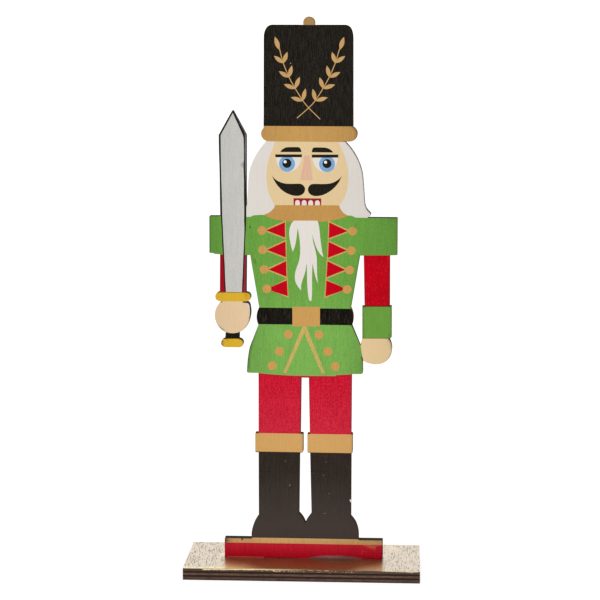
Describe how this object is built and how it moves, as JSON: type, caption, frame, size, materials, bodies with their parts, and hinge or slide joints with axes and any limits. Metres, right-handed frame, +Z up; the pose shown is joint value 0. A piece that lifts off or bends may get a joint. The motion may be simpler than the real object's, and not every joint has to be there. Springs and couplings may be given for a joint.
{
  "type": "wooden nutcracker",
  "caption": "Flat plywood nutcracker soldier with a tall hat and a sword, printed on its front, standing on edge on a plywood base with a gold top.",
  "frame": {"origin": "centre of the base's underside, the face that the part stands on", "axes": "+Z up along the figure's height, +X to the viewer's right when looking at the printed front, so the front faces -Y"},
  "size_m": [0.127, 0.0562, 0.2992],
  "materials": {
    "charred_veneer": "birch veneer with a cut edge scorched brown",
    "charred_crossband": "birch veneer with its end grain scorched nearly black at the cut edge",
    "gold_paint": "birch veneer under semi-gloss metallic gold paint, with open pores",
    "printed_veneer": "birch veneer with a flat matt colour print on its front",
    "figure_veneer": "bare birch veneer with scorched cut edges",
    "dried_glue": "clear greyish dried glue"
  },
  "bodies": {
    "root": {"base_bottom_veneer": "charred_veneer", "base_lower_crossband": "charred_crossband", "base_core_veneer": "charred_veneer", "base_upper_crossband": "charred_crossband", "base_top_veneer": "gold_paint", "figure_front_veneer": "printed_veneer", "figure_core_veneer": "figure_veneer", "figure_back_veneer": "figure_veneer", "glue_bead_front": "dried_glue"}
  },
  "joints": []
}
